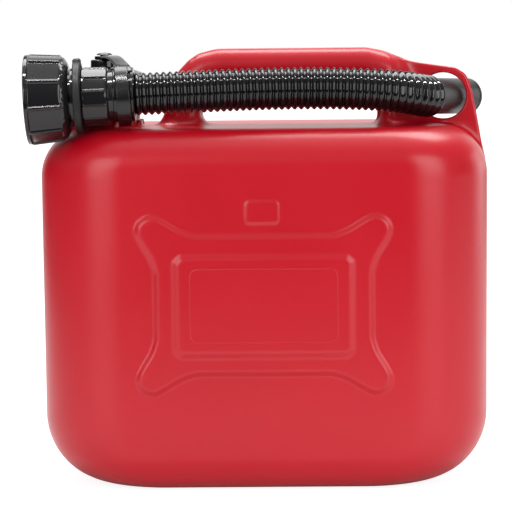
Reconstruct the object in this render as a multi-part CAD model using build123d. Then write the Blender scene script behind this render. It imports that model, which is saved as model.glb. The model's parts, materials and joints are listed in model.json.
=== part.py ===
# Five-litre fuel can with a stowed flexible pouring spout.
# Millimetres, +Z up, +X to the spout-tip side, front face towards -Y.
# Origin: centre of the tank's footprint, on the plane it stands on.
import math
import os

from build123d import *

os.makedirs("parts", exist_ok=True)

# ---------------------------------------------------------------- driving sizes
BODY_W = 255.0                  # tank width at its widest
BODY_D = 130.0                  # tank depth between the flat faces
BODY_H = 204.0                  # tank height without handle and neck
WALL = 1.8                      # tank wall
R_PLAN = 48.0                   # upright corner radius, seen from above
R_TOP_X, R_BOT_X = 28.0, 40.0   # end-to-top and end-to-bottom roundings
R_TOP_Y, R_BOT_Y = 21.0, 20.0   # face-to-top and face-to-bottom roundings

FIELD_Z = 106.0                 # centre height of the raised X-shaped field
FIELD_RISE = 1.6                # field above the tank face
PANEL_RISE = 1.4                # rectangular panel above the field
INSERT_RISE = 0.25              # inner rectangle above the panel
BADGE_RISE = 0.7                # badge above the tank face
RELIEF_SINK = 1.0               # how deep field and badge start inside the face
RELIEF_BEVEL = 1.1

HANDLE_TOP = 247.5
HANDLE_UNDER = 229.5
HANDLE_D = 27.0
HANDLE_WALL = 2.4
HANDLE_ROUND = 7.5

FIN_T = 2.6                     # thin fin that carries the nozzle eyelet
EYE_X, EYE_Z, EYE_R = 103.2, 219.4, 13.3

NECK_X = -91.7
NECK_R, NECK_BORE, NECK_TOP = 20.0, 17.2, 224.0
PITCH = 4.0                     # thread pitch of the neck and both screw closures
THREAD_TURNS = 1.5
THREAD_Z = 211.4                # start of the neck thread
RIDGE_H = 1.25                  # thread height
RIDGE_ROOT, RIDGE_CREST = 2.0, 1.0      # thread width at foot and top
RIDGE_SINK = 0.4                # how far the thread's foot is buried

SPOUT_ORIGIN = Vector(-132.6, -44.0, 221.0)     # centre of the union nut's open end
SPOUT_TILT = 2.38               # spout base axis rises to +X, degrees

HOSE_R, HOSE_VALLEY, HOSE_BORE = 12.0, 10.8, 9.8
HOSE_PITCH = 3.7                # wanted ring spacing, fitted to a whole number of rings
NOZZLE_R, NOZZLE_BORE = 10.3, 8.0
NOZZLE_YAW = 60.0               # nozzle axis, turned from +X towards +Y, degrees

RED = (0.72, 0.03, 0.06)
BLACK = (0.03, 0.03, 0.033)
GREY = (0.09, 0.09, 0.095)


# ---------------------------------------------------------------- shared helpers
def face_of(points):
    return Face(Wire.make_polygon([Vector(p) for p in points], close=True))


def turned(profile):
    """Solid of revolution about Z from (radius, height) pairs."""
    return revolve(face_of([(r, 0, z) for r, z in profile]), Axis.Z, 360)


def tube(r_in, r_out, z0, z1):
    """Plain ring about Z; r_in 0 makes a disc."""
    return turned([(r_in, z0), (r_out, z0), (r_out, z1), (r_in, z1)])


def add_around(body, block, count, first=0.0):
    """Add count copies of block, evenly turned about Z from the angle first."""
    for i in range(count):
        body = body + Rot(0, 0, first + 360 / count * i) * block
    return body


def thread(radius, z0, sign):
    """Helical ridge; sign +1 stands out of the radius, -1 points inwards."""
    path = Helix(pitch=PITCH, height=PITCH * THREAD_TURNS, radius=radius, center=(0, 0, z0))
    start = path @ 0
    plane = Plane(origin=start, x_dir=Vector(start.X, start.Y, 0).normalized(),
                  z_dir=path % 0)
    foot, crest = -RIDGE_SINK * sign, RIDGE_H * sign
    section = face_of([(foot, -RIDGE_ROOT / 2), (crest, -RIDGE_CREST / 2),
                       (crest, RIDGE_CREST / 2), (foot, RIDGE_ROOT / 2)])
    return sweep(plane * section, path=path, is_frenet=True)


def plane_along(origin, axis):
    """Plane normal to axis, its x direction as near to upright as it can be."""
    return Plane(origin=origin, x_dir=Vector(0, 0, 1) - axis * axis.Z, z_dir=axis)


def save(shape, name, colour):
    """Write the largest solid of the shape."""
    body = max(shape.solids(), key=lambda s: s.volume)
    body.label = name
    body.color = Color(*colour)
    export_step(body, f"parts/{name}.step")


AT_NECK = Pos(NECK_X, 0, 0)

# ---------------------------------------------------------------- tank body
# section heights, closer together where the roundings curve most
SECTION_Z = [0, 0.5, 1.9, 4.2, 7.5, 11.7, 16.5, 22, 30, 40, 62, 84, 106, 128, 150,
             172, 178, 184.5, 190, 194.5, 198.2, 201, 203.1, BODY_H]


def round_inset(dist, radius):
    """How far a rounding of this radius pulls the side in, dist above its end."""
    if dist >= radius:
        return 0.0
    return radius - math.sqrt(max(0.0, radius ** 2 - (radius - dist) ** 2))


def body_loft(inset):
    """Tank body, drawn in by inset on every side."""
    sections = []
    for height in SECTION_Z:
        z = inset + height / BODY_H * (BODY_H - 2 * inset)
        below, above = z - inset, BODY_H - inset - z
        dx = max(round_inset(below, R_BOT_X - inset), round_inset(above, R_TOP_X - inset))
        dy = max(round_inset(below, R_BOT_Y - inset), round_inset(above, R_TOP_Y - inset))
        width = BODY_W - 2 * inset - 2 * dx
        depth = BODY_D - 2 * inset - 2 * dy
        corner = R_PLAN - inset - 0.75 * dy
        sections.append(Pos(0, 0, z) * RectangleRounded(width, depth, corner))
    return loft(sections)


# ---------------------------------------------------------------- raised fields
# one lobe of the X-shaped field: (x, z above the field centre)
LOBE = [(40.2, 40.5), (58.0, 50.8), (64.3, 51.4), (69.2, 48.8), (72.4, 43.8),
        (72.0, 38.6), (68.6, 31.6), (64.4, 25.2), (62.2, 19.6)]
# clockwise from upper right: x sign, z sign, start tangent, end tangent
LOBE_PLACES = [(1, 1, (1, 0), (0, -1)), (1, -1, (0, -1), (-1, 0)),
               (-1, -1, (-1, 0), (0, 1)), (-1, 1, (0, 1), (1, 0))]


def field_outline():
    """Rectangle whose four corners swell into lobes."""
    lobes = []
    for sx, sz, _, _ in LOBE_PLACES:
        points = [(sx * x, FIELD_Z + sz * z) for x, z in LOBE]
        lobes.append(points[::-1] if sx * sz < 0 else points)
    edges = []
    for i, points in enumerate(lobes):
        edges.append(Spline(*points, tangents=LOBE_PLACES[i][2:]))
        edges.append(Line(points[-1], lobes[(i + 1) % 4][0]))
    return make_face(Wire(edges))


def on_front(outline, sink, rise):
    """Block with an XZ outline, from sink inside the front face to rise before it."""
    plane = Plane(origin=(0, -BODY_D / 2 + sink, 0), x_dir=(1, 0, 0), z_dir=(0, -1, 0))
    return extrude(plane * outline, amount=sink + rise)


def bevel_front(block):
    return chamfer(block.faces().sort_by(Axis.Y)[0].edges(), RELIEF_BEVEL)


def make_relief():
    """Stepped relief on both faces, and a small badge above it on the front."""
    field = bevel_front(on_front(field_outline(), RELIEF_SINK, FIELD_RISE))
    panel_rise = FIELD_RISE + PANEL_RISE
    panel = bevel_front(on_front(Pos(0, FIELD_Z - 0.3) * RectangleRounded(102.6, 58.8, 4.0),
                                 0, panel_rise))
    insert = on_front(Pos(0, FIELD_Z - 0.1) * RectangleRounded(82.6, 41.0, 4.0),
                      0, panel_rise + INSERT_RISE)
    badge = on_front(Pos(-0.6, 158.0) * RectangleRounded(20.0, 14.0, 3.0),
                     RELIEF_SINK, BADGE_RISE)
    front = field + panel + insert
    back = mirror(front, Plane.XZ)
    return front + badge, back


# ---------------------------------------------------------------- handle and fin
# (x, z, corner radius), 0 leaves the corner sharp
HANDLE_OUTER = [(-61, 196, 0), (-57.6, 210.5, 20), (-48.0, 238.0, 9), (-40.0, 245.6, 9),
                (-27.0, HANDLE_TOP, 16), (61.0, HANDLE_TOP, 14), (70.0, 244.6, 10),
                (79.5, 239.0, 6), (84.5, 231.0, 14), (91.0, 209.5, 24), (95.0, 196, 0)]
HANDLE_INNER = [(-30.0, 190, 0), (-36.5, 209.5, 9), (-32.5, HANDLE_UNDER, 9),
                (64.5, HANDLE_UNDER, 9), (69.0, 209.5, 9), (62.0, 190, 0)]
# (x, half depth): the +X leg thins towards the fin, seen from above
HANDLE_PLAN = [(-80, 13.6), (71.0, 13.6), (76.0, 12.9), (80.0, 11.2), (83.5, 8.4),
               (87.0, 5.0), (91.0, 3.0), (97.0, 2.2)]
TAPER_X = 72                    # beyond this the void's plan is drawn in along X too
# (x, z)
FIN_OUTLINE = [(78.0, 240.5), (84.9, 239.4), (99.3, 237.2), (110.6, 235.4),
               (113.2, 234.5), (116.2, 231.1), (118.2, 227.6), (119.7, 223.0),
               (121.9, 212.3), (124.1, 199.9), (126.2, 184.3), (126.6, 176.0),
               (118.0, 176.0), (95.0, 198.0), (76.0, 198.0), (76.0, 232.0)]


def rounded_face(corners):
    face = face_of([(x, z) for x, z, _ in corners])
    for x, z, radius in corners:
        if radius:
            near = min(face.vertices(), key=lambda v: (v.X - x) ** 2 + (v.Y - z) ** 2)
            face = fillet(near, radius)
    return face


def on_mid(outline, depth):
    """Extrude an XZ outline evenly to both sides of the mid-plane."""
    plane = Plane(origin=(0, 0, 0), x_dir=(1, 0, 0), z_dir=(0, -1, 0))
    return extrude(plane * outline, amount=depth / 2, both=True)


def plan_prism(plan, inset):
    side = [(x - (inset if x > TAPER_X else 0), y - inset, 180) for x, y in plan]
    side += [(x, -y, z) for x, y, z in reversed(side)]
    return extrude(face_of(side), amount=90, dir=(0, 0, 1))


def make_handle():
    """Loop standing on the mid-plane, and the void inside it."""
    outer_face = rounded_face(HANDLE_OUTER)
    inner_face = rounded_face(HANDLE_INNER)
    void_outer = offset(outer_face, -HANDLE_WALL)
    void_inner = offset(inner_face, HANDLE_WALL)

    loop = on_mid(outer_face, HANDLE_D) - on_mid(inner_face, HANDLE_D + 2)
    long_edges = [e for e in loop.edges()
                  if abs(abs(e.center().Y) - HANDLE_D / 2) < 1e-3 and e.center().Z > 197
                  and e.length > 0.5]
    # the rounding may fail where short outline edges meet; a chamfer then stands in
    try:
        loop = fillet(long_edges, HANDLE_ROUND)
    except Exception:
        loop = chamfer(long_edges, 4.0)
    loop = loop & plan_prism(HANDLE_PLAN, 0)

    void = on_mid(void_outer, HANDLE_D - 2 * HANDLE_WALL) - on_mid(void_inner, HANDLE_D)
    void = void & Pos(0, 0, 225) * Box(400, 100, 56)     # z 197 to 253
    # the last plan point is narrower than the two walls, so the void stops before it
    void = void & plan_prism(HANDLE_PLAN[:-1], HANDLE_WALL)
    return loop, void


# ---------------------------------------------------------------- neck and tank
def make_neck():
    neck = turned([(0, 192), (21.6, 192), (21.6, 206.4), (21.0, 207.0), (NECK_R, 207.4),
                   (NECK_R, NECK_TOP - 0.8), (NECK_R - 0.8, NECK_TOP), (0, NECK_TOP)])
    neck = neck + thread(NECK_R, THREAD_Z, 1)
    neck = add_around(neck, Pos(21.9, 0, 204.5) * Box(2.4, 3.0, 6.0), 4, first=20)
    return AT_NECK * neck


outer = body_loft(0.0)
cavity = body_loft(WALL)
front, back = make_relief()
handle, handle_void = make_handle()
fin = on_mid(face_of(FIN_OUTLINE), FIN_T)
eye_cut = Pos(EYE_X, 0, EYE_Z) * Rot(90, 0, 0) * Cylinder(EYE_R, 20)
neck_bore = AT_NECK * tube(0, NECK_BORE, 190, NECK_TOP + 1)

tank = outer + handle + fin + make_neck() + front + back
tank = tank - cavity - handle_void
tank = tank - neck_bore - eye_cut
save(tank, "tank", RED)

# ---------------------------------------------------------------- filler cap
CAP_Z = 211.6                   # lower rim of the outer shell
INSERT_BORE = 21.55
DECK_Z, INSERT_TOP = 226.1, 229.0       # underside and top of the insert's deck
RIB_H = 16.4                    # grip ribs
STUD_R = 2.6
CAP_LUG = Box(5.0, 2.2, 1.2)    # lugs on the insert and, between them, on the shell

insert_rim = CAP_Z + 0.4
cap_insert = turned([(INSERT_BORE, insert_rim), (23.5, insert_rim), (23.5, INSERT_TOP),
                     (0, INSERT_TOP), (0, DECK_Z), (INSERT_BORE, DECK_Z)])
cap_insert = cap_insert + thread(INSERT_BORE, THREAD_Z + PITCH / 2, -1)
cap_insert = add_around(cap_insert, Pos(18.0, 0, INSERT_TOP + 0.4) * CAP_LUG, 6)
save(AT_NECK * cap_insert, "cap_insert", BLACK)

seal = tube(0, 21.3, NECK_TOP + 0.05, DECK_Z - 0.05)
save(AT_NECK * seal, "cap_seal", GREY)

# domed shell with a socket for the stud
shell = turned([(23.7, CAP_Z), (25.4, CAP_Z), (25.6, CAP_Z + 2.5), (25.4, 229.6),
                (24.8, 231.6), (23.0, 233.6), (18.0, 235.6), (12.0, 236.8), (8.4, 237.2),
                (8.1, 237.8), (8.0, 241.6), (7.6, 242.0), (STUD_R, 242.0),
                (STUD_R, 233.0), (0, 233.0), (0, 231.3), (21.5, 231.3), (23.7, 230.0)])
shell = add_around(shell, Pos(25.35, 0, CAP_Z + 2.6 + RIB_H / 2) * Box(1.5, 1.9, RIB_H),
                   28, first=180 / 28)
shell = add_around(shell, Pos(18.0, 0, 231.0) * CAP_LUG, 6, first=30)
save(AT_NECK * shell, "cap_shell", BLACK)

stud = turned([(0, 233.05), (STUD_R, 233.05), (STUD_R, 244.1), (4.4, 244.1), (4.5, 244.5),
               (3.6, 245.3), (1.6, 245.7), (0, 245.75)])
save(AT_NECK * stud, "tether_stud", BLACK)

# ---------------------------------------------------------------- spout base
# heights here run along the spout axis from the nut's open end
tilt = math.radians(SPOUT_TILT)
SPOUT_AXIS = Vector(math.cos(tilt), 0, math.sin(tilt))
AT_SPOUT = plane_along(SPOUT_ORIGIN, SPOUT_AXIS).location
NUT_BORE, NUT_HOLE = 21.3, 14.1         # threaded bore and hole in the end wall
NUT_DEPTH, NUT_END = 20.6, 24.6
FLANGE_Z = 18.0                 # adapter flange, seat of gasket and strainer
STRAINER_T = 1.1
HOLE_PITCH, HOLE_ROW = 2.1, 1.82        # strainer holes: along a row, between rows

# union nut: slightly conical, grip ribs along it and teeth on the end's shoulder
nut = turned([(NUT_BORE, 0), (25.0, 0), (25.3, 0.5), (25.3, 1.8), (24.5, 2.3),
              (22.8, 20.6), (22.3, 21.4), (19.4, 24.2), (18.2, NUT_END),
              (NUT_HOLE, NUT_END), (NUT_HOLE, NUT_DEPTH), (NUT_BORE, NUT_DEPTH)])
nut_rib = Pos(23.9, 0, 0) * Rot(0, -5.2, 0) * Pos(0, 0, 11.4) * Box(2.0, 1.9, 18.6)
nut = add_around(nut, nut_rib, 10, first=28)
nut = add_around(nut, Pos(19.6, 0, 22.4) * Box(2.2, 1.6, 2.6), 24)
# clear what ribs and teeth leave in the bores
nut = nut - tube(0, NUT_HOLE, -1, 30)
nut = nut - tube(0, NUT_BORE, -1, NUT_DEPTH)
nut = nut + thread(21.45, 3.2, -1)
save(AT_SPOUT * nut, "spout_nut", BLACK)

save(AT_SPOUT * tube(13.6, 20.0, FLANGE_Z - 2.0, FLANGE_Z), "nut_gasket", GREY)

adapter = turned([(8.6, 19.2), (13.2, 19.2), (13.2, FLANGE_Z), (20.3, FLANGE_Z),
                  (20.3, 20.5), (14.0, 20.5), (14.0, 25.6), (16.5, 25.6), (16.5, 31.4),
                  (10.2, 31.4), (10.2, 54.0), (9.4, 56.0), (8.6, 56.0)])
save(AT_SPOUT * adapter, "spout_adapter", BLACK)

strainer_z = FLANGE_Z + STRAINER_T / 2
strainer = Pos(0, 0, strainer_z) * Cylinder(13.1, STRAINER_T)
holes = []
for column in range(-4, 5):
    for row in range(-4, 5):
        x = column * HOLE_PITCH + (row % 2) * HOLE_PITCH / 2
        y = row * HOLE_ROW
        if math.hypot(x, y) < 7.4:
            holes.append(Pos(x, y, strainer_z) * Cylinder(0.7, 3))
strainer = strainer - holes
save(AT_SPOUT * strainer, "strainer", GREY)

# loose disc with a tab on its upper side
disc = turned([(16.58, 27.4), (19.0, 27.1), (19.6, 27.7), (19.6, 30.6), (19.0, 31.2),
               (16.58, 30.9)])
tab = Pos(19.7, 0, 29.2) * Box(3.0, 8.0, 5.8)
tab = chamfer(tab.faces().sort_by(Axis.X)[-1].edges(), 0.9)
save(AT_SPOUT * (disc + tab), "stop_disc", GREY)

collar = turned([(12.3, 31.6), (15.5, 31.6), (16.0, 32.2), (15.7, 45.8), (15.2, 46.3),
                 (14.0, 46.5), (14.0, 49.5), (14.9, 49.7), (14.9, 59.3), (15.5, 59.4),
                 (15.5, 60.2), (15.0, 60.6), (12.3, 60.6)])
collar = add_around(collar, Pos(15.7, 0, 39.0) * Box(1.5, 1.5, 13.0), 12, first=16)
save(AT_SPOUT * collar, "hose_collar", BLACK)

# ---------------------------------------------------------------- hose
yaw = math.radians(NOZZLE_YAW)
NOZZLE_AXIS = Vector(math.cos(yaw), math.sin(yaw), -0.04).normalized()
NOZZLE_ORIGIN = Vector(EYE_X + 0.1, 0, EYE_Z - 0.3)     # nozzle axis in the eyelet plane
CUFF_R, CUFF_BORE = 12.2, 10.25         # plain end of the hose inside the collar
BORE_STEPS = 60
# (fraction of one ring's length, radius)
RING_PROFILE = [(0.02, HOSE_VALLEY), (0.24, HOSE_VALLEY), (0.42, HOSE_R), (0.84, HOSE_R)]

path = Spline(SPOUT_ORIGIN + SPOUT_AXIS * 60.8,
              (-35.4, -41.0, 224.7), (-3.0, -36.6, 225.5), (30.0, -33.9, 225.6),
              (61.0, -33.1, 224.6), (83.6, -26.7, 222.0),
              NOZZLE_ORIGIN - NOZZLE_AXIS * 17.6,
              tangents=(SPOUT_AXIS, NOZZLE_AXIS))
ring_count = round(path.length / HOSE_PITCH)


def circle_wire(radius, plane):
    return Wire([Edge.make_circle(radius, plane)])


def base_circle(radius, height):
    return circle_wire(radius, plane_along(SPOUT_ORIGIN + SPOUT_AXIS * height, SPOUT_AXIS))


def path_circle(radius, fraction):
    return circle_wire(radius, plane_along(path @ fraction, path % fraction))


# one skin outside (plain cuff, then the rings) and one plain bore inside
skin = [base_circle(CUFF_R, 33.0), base_circle(CUFF_R, 58.8), base_circle(11.2, 59.8)]
for i in range(ring_count):
    for offset_in_ring, radius in RING_PROFILE:
        skin.append(path_circle(radius, (i + offset_in_ring) / ring_count))
skin.append(path_circle(HOSE_VALLEY, 1))

bore = [base_circle(CUFF_BORE, 32.0), base_circle(CUFF_BORE, 56.6),
        base_circle(HOSE_BORE, 57.6)]
bore += [path_circle(HOSE_BORE, i / BORE_STEPS) for i in range(BORE_STEPS + 1)]
end_axis = path % 1
bore.append(circle_wire(HOSE_BORE, plane_along(path @ 1 + end_axis * 1.0, end_axis)))

hose = (Part() + Solid.make_loft(skin, ruled=True)) - Solid.make_loft(bore, ruled=True)
save(hose, "hose", BLACK)

# ---------------------------------------------------------------- nozzle
TIP = 29.8                      # nozzle mouth, beyond the eyelet plane
nozzle = turned([(NOZZLE_BORE, -22.0), (9.0, -22.0), (9.35, -21.0), (9.35, -17.5),
                 (NOZZLE_R, -17.5), (NOZZLE_R, TIP - 2.3), (NOZZLE_R - 0.25, TIP - 0.8),
                 (NOZZLE_R - 0.9, TIP), (NOZZLE_R - 1.5, TIP),
                 (NOZZLE_BORE + 0.1, TIP - 0.5), (NOZZLE_BORE, TIP - 1.1)])
save(plane_along(NOZZLE_ORIGIN, NOZZLE_AXIS).location * nozzle, "nozzle", BLACK)

# ---------------------------------------------------------------- tether strap
# ring on the collar's seat, arched band, eye under the stud's head
STRAP_T, STRAP_W = 1.7, 8.0
STRAP_STEPS = 22

ring = AT_SPOUT * tube(14.98, 17.3, 49.9, 58.6)
eye_ring = AT_NECK * tube(2.68, 5.6, 242.1, 244.0)

ring_centre = SPOUT_ORIGIN + SPOUT_AXIS * 53.9
reach = Vector(NECK_X - ring_centre.X, -ring_centre.Y, 0)
span = reach.length
along = reach.normalized()
arch_plane = Plane(origin=Vector(ring_centre.X, ring_centre.Y, 0), x_dir=along,
                   z_dir=along.cross(Vector(0, 0, 1)))
arch_z = ring_centre.Z + 16.6
# upper line of the band: (distance from the ring's centre towards the stud, z)
arch = Spline((-4.0, arch_z + 0.2), (3.0, arch_z + 1.5), (10.0, arch_z + 2.9),
              (18.0, arch_z + 4.2), (27.0, arch_z + 4.8), (span - 9.0, 244.3),
              (span - 4.2, 243.95), tangents=((1, 0.15), (1, -0.02)))
upper, lower = [], []
for i in range(STRAP_STEPS + 1):
    point, tangent = arch @ (i / STRAP_STEPS), arch % (i / STRAP_STEPS)
    upper.append((point.X, point.Y))
    lower.append((point.X + tangent.Y * STRAP_T, point.Y - tangent.X * STRAP_T))
band = extrude(arch_plane * face_of(upper + lower[::-1]), amount=STRAP_W / 2, both=True)
band = band - AT_SPOUT * tube(0, 16.2, 40, 70)
band = band - AT_NECK * tube(0, 4.2, 235, 250)
save(ring + band + eye_ring, "tether_strap", BLACK)
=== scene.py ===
"""A red moulded canister with a filler cap, a flexible spout hose and a tether strap.

It stands on z = 0 with its broad faces towards -Y (front) and +Y (back). The filler neck is at
the -X end of the top. The spout parts lie along the top in front of the neck, pointing to +X,
and the hose bends back to a nozzle held in the eyelet of a fin at the +X end.
Lengths are in mm and become metres when a mesh is made.
"""
import itertools
import json
import math
import bmesh
import bpy
import numpy as np
from mathutils import Matrix, Vector

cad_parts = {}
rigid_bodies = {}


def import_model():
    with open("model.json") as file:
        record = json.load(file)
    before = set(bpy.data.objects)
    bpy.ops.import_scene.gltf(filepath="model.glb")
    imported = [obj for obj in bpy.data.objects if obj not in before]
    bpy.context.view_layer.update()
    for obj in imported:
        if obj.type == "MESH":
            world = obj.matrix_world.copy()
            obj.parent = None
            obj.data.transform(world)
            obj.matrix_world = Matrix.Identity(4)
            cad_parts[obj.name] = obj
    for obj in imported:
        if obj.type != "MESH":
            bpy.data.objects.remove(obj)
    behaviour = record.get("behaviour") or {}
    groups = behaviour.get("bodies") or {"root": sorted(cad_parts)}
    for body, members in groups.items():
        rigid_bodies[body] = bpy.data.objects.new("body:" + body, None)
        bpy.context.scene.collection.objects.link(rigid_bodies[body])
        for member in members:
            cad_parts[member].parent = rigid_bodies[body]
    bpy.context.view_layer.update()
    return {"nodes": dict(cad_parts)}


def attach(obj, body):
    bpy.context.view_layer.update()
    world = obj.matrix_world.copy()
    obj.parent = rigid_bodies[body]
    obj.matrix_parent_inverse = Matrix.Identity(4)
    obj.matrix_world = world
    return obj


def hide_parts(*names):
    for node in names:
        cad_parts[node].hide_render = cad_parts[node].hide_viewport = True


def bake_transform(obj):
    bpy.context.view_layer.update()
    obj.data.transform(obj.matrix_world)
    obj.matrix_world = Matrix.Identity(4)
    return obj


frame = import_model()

MM = 0.001

# ------------------------------------------------------------------ driving sizes
FRONT = np.array([0.0, -1.0, 0.0])
UP = np.array([0.0, 0.0, 1.0])

HALF_WIDTH, HALF_DEPTH, HEIGHT = 127.5, 65.0, 204.0
PLAN_ROUND = 48.0  # vertical corners
BASE_TAPER = 0.9  # each end draws in by this much at the base
SIDE_ROUNDS = (40.0, 28.0)  # base and top edges of the two ends
FACE_ROUNDS = (20.0, 21.0)  # base and top edges of the broad faces

NECK = np.array([-91.7, 0.0, 0.0])
EYELET_X, EYELET_Z, EYELET_RADIUS = 103.2, 219.4, 13.3

# The spout parts are measured along their axis from this point.
SPOUT_START = np.array([-132.6, -44.0, 221.0])
SPOUT_TILT = math.radians(2.38)
SPOUT_AXIS = np.array([math.cos(SPOUT_TILT), 0.0, math.sin(SPOUT_TILT)])
SPOUT_UP = np.array([-math.sin(SPOUT_TILT), 0.0, math.cos(SPOUT_TILT)])

NOZZLE_YAW = math.radians(60.0)
NOZZLE_AXIS = np.array([math.cos(NOZZLE_YAW), math.sin(NOZZLE_YAW), -0.04])
NOZZLE_AXIS /= np.linalg.norm(NOZZLE_AXIS)
NOZZLE_SEAT = np.array([EYELET_X + 0.1, 0.0, EYELET_Z - 0.3])


# ------------------------------------------------------------------ mesh tools
def shade_smooth(mesh):
    mesh.polygons.foreach_set("use_smooth", np.ones(len(mesh.polygons), bool))


def make_mesh(name, points, faces):
    """A smooth-shaded object from points in mm and faces of any size."""
    points = np.asarray(points, np.float64) * MM
    mesh = bpy.data.meshes.new(name)
    mesh.vertices.add(len(points))
    mesh.vertices.foreach_set("co", points.astype(np.float32).ravel())
    sizes = np.array([len(face) for face in faces])
    corners = np.concatenate(faces).astype(np.int32)
    starts = np.concatenate([[0], np.cumsum(sizes)[:-1]]).astype(np.int32)
    mesh.loops.add(len(corners))
    mesh.loops.foreach_set("vertex_index", corners)
    mesh.polygons.add(len(sizes))
    mesh.polygons.foreach_set("loop_start", starts)
    mesh.update(calc_edges=True)
    mesh.validate()
    shade_smooth(mesh)
    obj = bpy.data.objects.new(name, mesh)
    bpy.context.scene.collection.objects.link(obj)
    return obj


def fix_normals(obj):
    """Merge coincident points and turn all faces outward."""
    bm = bmesh.new()
    bm.from_mesh(obj.data)
    bmesh.ops.remove_doubles(bm, verts=bm.verts, dist=1e-6)
    bmesh.ops.recalc_face_normals(bm, faces=bm.faces)
    bm.to_mesh(obj.data)
    bm.free()
    shade_smooth(obj.data)
    obj.data.update()


def skin(name, rows, wrap=False, caps=()):
    """Join rows of points by quads; each row is a closed loop.

    wrap also joins the last row to the first. caps lists the rows that get a face.
    """
    rows = np.asarray(rows)
    count, size = rows.shape[:2]
    a, b = np.meshgrid(np.arange(count if wrap else count - 1), np.arange(size), indexing="ij")
    a, b = a.ravel(), b.ravel()
    a_next, b_next = (a + 1) % count, (b + 1) % size
    quads = np.stack([a * size + b, a_next * size + b,
                      a_next * size + b_next, a * size + b_next], 1)
    faces = list(quads) + [list(range(row * size, (row + 1) * size)) for row in caps]
    obj = make_mesh(name, rows.reshape(-1, 3), faces)
    fix_normals(obj)
    return obj


def read_points(obj):
    """The object's points in mm."""
    flat = np.empty(len(obj.data.vertices) * 3, np.float32)
    obj.data.vertices.foreach_get("co", flat)
    return flat.reshape(-1, 3) / MM


def write_points(obj, points):
    obj.data.vertices.foreach_set("co", (points * MM).astype(np.float32).ravel())
    obj.data.update()


def join(name, parts):
    """One object from several, which are removed."""
    points, faces, base = [], [], 0
    for part in parts:
        points.append(read_points(part))
        faces += [[base + v for v in polygon.vertices] for polygon in part.data.polygons]
        base += len(part.data.vertices)
        bpy.data.objects.remove(part)
    return make_mesh(name, np.concatenate(points), faces)


def unit(vectors):
    return vectors / np.linalg.norm(vectors, axis=-1, keepdims=True)


def rounded(corners, radius=None, seg=5):
    """A closed outline with rounded corners, seg steps to each.

    Corners are (a, b, radius), or (a, b) where one radius serves them all.
    """
    points = [np.array(corner[:2], float) for corner in corners]
    outline = []
    for i, point in enumerate(points):
        wanted = corners[i][2] if radius is None else radius
        to_last, to_next = points[i - 1] - point, points[(i + 1) % len(points)] - point
        last_length, next_length = np.linalg.norm(to_last), np.linalg.norm(to_next)
        to_last, to_next = to_last / last_length, to_next / next_length
        angle = math.acos(np.clip(np.dot(to_last, to_next), -1, 1))
        if angle > math.pi - 0.02 or wanted <= 0:
            outline.append(point)
            continue
        cut = min(wanted / math.tan(angle / 2), 0.48 * last_length, 0.48 * next_length)
        fitted = cut * math.tan(angle / 2)
        middle = to_last + to_next
        centre = point + middle / np.linalg.norm(middle) * (fitted / math.sin(angle / 2))
        start, end = point + to_last * cut - centre, point + to_next * cut - centre
        for k in range(seg + 1):
            spoke = start * (1 - k / seg) + end * (k / seg)
            outline.append(centre + spoke / np.linalg.norm(spoke) * fitted)
    return np.array(outline)


def dense(outline, step):
    """Split the long runs of a closed outline so that shading stays even."""
    points = []
    for a, b in zip(outline, np.roll(outline, -1, 0)):
        parts = max(1, int(np.linalg.norm(b - a) / step))
        points += [a + (b - a) * j / parts for j in range(parts)]
    return np.array(points)


def lathe(name, corners, origin, axis, count, step, seg, reshape=None, zero=FRONT):
    """A turned solid. Corners are (along, radius, rounding).

    theta 0 looks along zero and turns about the axis; reshape(theta, along, radius) gives a
    new radius.
    """
    outline = dense(rounded(corners, seg=seg), step)
    angles = np.arange(count) * 2 * math.pi / count
    theta, along = np.meshgrid(angles, outline[:, 0], indexing="ij")
    radius = np.broadcast_to(outline[:, 1], theta.shape)
    if reshape is not None:
        radius = reshape(theta, along, radius)
    spoke = np.cos(theta)[..., None] * zero + np.sin(theta)[..., None] * np.cross(axis, zero)
    return skin(name, origin + along[..., None] * axis + radius[..., None] * spoke, wrap=True)


def clamped_spline(points, start, end, samples):
    """A smooth cubic through the points with given end directions."""
    points = np.asarray(points, float)
    count = len(points)
    gap = np.linalg.norm(np.diff(points, axis=0), axis=1)
    system, known = np.zeros((count, count)), np.zeros((count, 3))
    system[0, 0] = system[-1, -1] = 1
    known[0], known[-1] = start, end
    for i in range(1, count - 1):
        before, after = gap[i - 1], gap[i]
        system[i, i - 1:i + 2] = after, 2 * (before + after), before
        known[i] = 3 * (after * (points[i] - points[i - 1]) / before
                        + before * (points[i + 1] - points[i]) / after)
    slope = np.linalg.solve(system, known)
    curve = []
    per_gap = samples // (count - 1)
    for i in range(count - 1):
        for k in range(per_gap):
            s = k / per_gap
            curve.append((2 * s ** 3 - 3 * s ** 2 + 1) * points[i]
                         + (s ** 3 - 2 * s ** 2 + s) * gap[i] * slope[i]
                         + (-2 * s ** 3 + 3 * s ** 2) * points[i + 1]
                         + (s ** 3 - s ** 2) * gap[i] * slope[i + 1])
    curve.append(points[-1])
    return np.array(curve)


def smooth_step(t):
    t = np.clip(t, 0, 1)
    return t * t * (3 - 2 * t)


def between(value, low, high, low_fade, high_fade):
    """1 between low and high, fading to 0 inside both limits."""
    return smooth_step((value - low) / low_fade) * smooth_step((high - value) / high_fade)


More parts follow.
